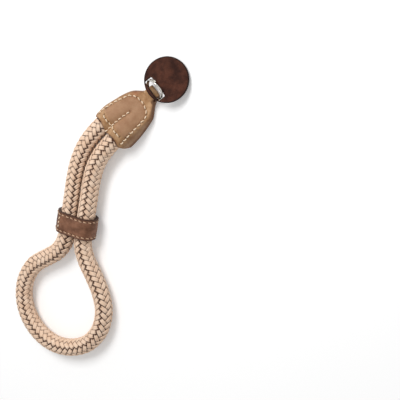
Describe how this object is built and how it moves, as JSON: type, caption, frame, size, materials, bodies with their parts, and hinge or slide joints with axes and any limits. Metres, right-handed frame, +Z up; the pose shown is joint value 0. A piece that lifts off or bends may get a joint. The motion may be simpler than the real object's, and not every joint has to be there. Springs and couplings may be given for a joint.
{
  "type": "camera hand strap",
  "caption": "Braided rope hand strap for a camera: wrist loop with a leather slider, sewn leather end cap, split ring and round leather pad.",
  "frame": {"origin": "on the end cap's flat underside, 11 mm behind its mouth on the cap's middle line; the strap lies flat on this plane", "axes": "+Y along the straight run of the two strands, from the wrist loop towards the cap; +Z up, out of the surface it lies on; the cap is turned 38 degrees from +Y towards +X"},
  "size_m": [0.0927, 0.1981, 0.016],
  "materials": {
    "rope": "braided cotton, matte",
    "cap_leather": "tan pull-up leather",
    "slider_leather": "brown leather",
    "pad_leather": "dark brown leather",
    "ring": "bright nickel",
    "thread": "waxed thread"
  },
  "bodies": {
    "strap": {"rope": "rope", "end_cap": "cap_leather", "cap_edge_thread": "thread", "cap_centre_thread": "thread", "cap_bar_thread": "thread"},
    "slider": {"slider_band": "slider_leather", "slider_upper_thread": "thread", "slider_lower_thread": "thread", "slider_lap_thread": "thread"},
    "ring": {"split_ring": "ring"},
    "pad": {"protector_pad": "pad_leather"}
  },
  "joints": [
    {"name": "slider_slide", "type": "slide", "parent": "strap", "child": "slider", "axis": [0, 1, 0], "range_m": [0, 0.021]},
    {"name": "ring_swing", "type": "hinge", "parent": "strap", "child": "ring", "pos_m": [0.01382, 0.01768, 0.00356], "axis": [0.788, -0.6157, 0], "range_deg": [-100, 45]},
    {"name": "pad_swing", "type": "hinge", "parent": "ring", "child": "pad", "pos_m": [0.01718, 0.02199, 0.00708], "axis": [-0.788, 0.6157, 0], "range_deg": [0, 58]}
  ]
}
